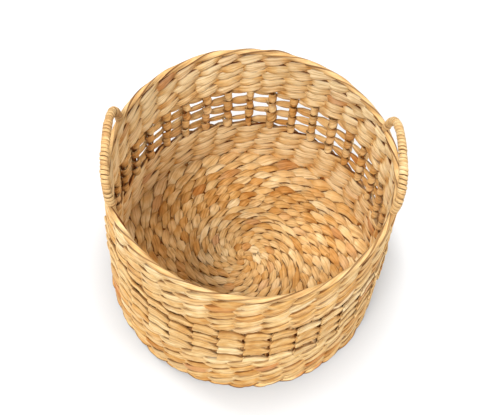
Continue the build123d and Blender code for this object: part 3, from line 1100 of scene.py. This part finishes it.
# %% [markdown]
# The basket stands on a plain white floor. A floor that only glows would be white but without a shadow, so
# this one is lit like any surface. A little glow then lifts it to white, but only for the rays that see the
# floor, so it hardly lights the basket. The glow fades out close to the foot and under it, so that the
# contact shadow stays.

# %% Floor
FLOOR_HALF = 3.0
FLOOR_ROUGH = 0.9
FLOOR_BOUNCE = 0.62
FLOOR_SEEN = 0.36
FLOOR_GLOW = 0.52
GLOW_STARTS_INSIDE = 0.03
GLOW_FULL_OUTSIDE = 0.055


def seen_ray(tree):
    """One for the rays that see the background: from the camera, a gloss or a clear piece."""
    path = tree.nodes.new("ShaderNodeLightPath")
    total = path.outputs["Is Camera Ray"]
    for label in ("Is Glossy Ray", "Is Transmission Ray"):
        join = tree.nodes.new("ShaderNodeMath")
        join.operation = "MAXIMUM"
        tree.links.new(total, join.inputs[0])
        tree.links.new(path.outputs[label], join.inputs[1])
        total = join.outputs[0]
    return total


def floor_material():
    """White floor that the camera sees as a plain background with its shadows."""
    material = bpy.data.materials.new("white floor")
    material.use_nodes = True
    tree = material.node_tree
    shader = tree.nodes["Principled BSDF"]
    shader.inputs["Roughness"].default_value = FLOOR_ROUGH
    shader.inputs["Specular IOR Level"].default_value = 0.0
    shader.inputs["Emission Color"].default_value = (1, 1, 1, 1)
    seen = seen_ray(tree)
    lit = add_range(tree, 0, 1, FLOOR_BOUNCE, FLOOR_SEEN)
    glow = add_range(tree, 0, 1, 0, FLOOR_GLOW)
    for node in (lit, glow):
        tree.links.new(seen, node.inputs["Value"])
    place = tree.nodes.new("ShaderNodeNewGeometry")
    away = tree.nodes.new("ShaderNodeVectorMath")
    away.operation = "LENGTH"
    tree.links.new(place.outputs["Position"], away.inputs[0])
    outside = add_range(tree, FOOT_RADIUS - GLOW_STARTS_INSIDE, FOOT_RADIUS + GLOW_FULL_OUTSIDE, 0, 1)
    tree.links.new(away.outputs["Value"], outside.inputs["Value"])
    faded = tree.nodes.new("ShaderNodeMath")
    faded.operation = "MULTIPLY"
    tree.links.new(glow.outputs[0], faded.inputs[0])
    tree.links.new(outside.outputs[0], faded.inputs[1])
    tree.links.new(lit.outputs[0], shader.inputs["Base Color"])
    tree.links.new(faded.outputs[0], shader.inputs["Emission Strength"])
    return material


def lay_floor():
    """A wide floor under the foot."""
    half = FLOOR_HALF
    mesh = bpy.data.meshes.new("floor")
    corners = [(-half, -half, 0), (half, -half, 0), (half, half, 0), (-half, half, 0)]
    mesh.from_pydata(corners, [], [(0, 1, 2, 3)])
    mesh.materials.append(floor_material())
    floor = bpy.data.objects.new("floor", mesh)
    scene.collection.objects.link(floor)
    return floor


floor = lay_floor()
print("floor width:", round(floor.dimensions.x, 2))

# %% [markdown]
# The light is soft and comes from all round, most of it from in front and above. Two smaller lamps behind the
# basket reach down into it and light its base and the sides of its inside. A bright world could do it alone,
# but with lamps each part of the basket can be brought to its own tone.

# %% Lights
WORLD_LIGHT = 0.05
LAMP_AIM = (0, 0, 0.12)
# Name, place, size and power of each lamp.
LAMPS = (
    ("key lamp", (-2.2, -4.6, 7.4), 3.2, 760),
    ("left lamp", (-5.2, -4.4, 4.8), 3.2, 195),
    ("right lamp", (5.5, -1.8, 4.8), 3.2, 325),
    ("back lamp right", (3.0, 3.2, 6.8), 1.8, 75),
    ("back lamp left", (-3.2, 3.0, 6.8), 1.8, 440),
)


def soft_lamp(name, place, size, power):
    """Square soft lamp that faces the basket."""
    data = bpy.data.lights.new(name, "AREA")
    data.size = size
    data.energy = power
    lamp = bpy.data.objects.new(name, data)
    lamp.location = place
    lamp.rotation_euler = (Vector(LAMP_AIM) - Vector(place)).to_track_quat("-Z", "Y").to_euler()
    scene.collection.objects.link(lamp)
    return lamp


def light_world(strength):
    """Even white light from all round, and a white background for the camera."""
    world = bpy.data.worlds.new("studio")
    scene.world = world
    world.use_nodes = True
    tree = world.node_tree
    background = tree.nodes["Background"]
    background.inputs["Color"].default_value = (1, 1, 1, 1)
    level = add_range(tree, 0, 1, strength, 1.0)
    tree.links.new(seen_ray(tree), level.inputs["Value"])
    tree.links.new(level.outputs[0], background.inputs["Strength"])


light_world(WORLD_LIGHT)
lamps = [soft_lamp(*lamp) for lamp in LAMPS]
print("lamps:", [lamp.name for lamp in lamps])
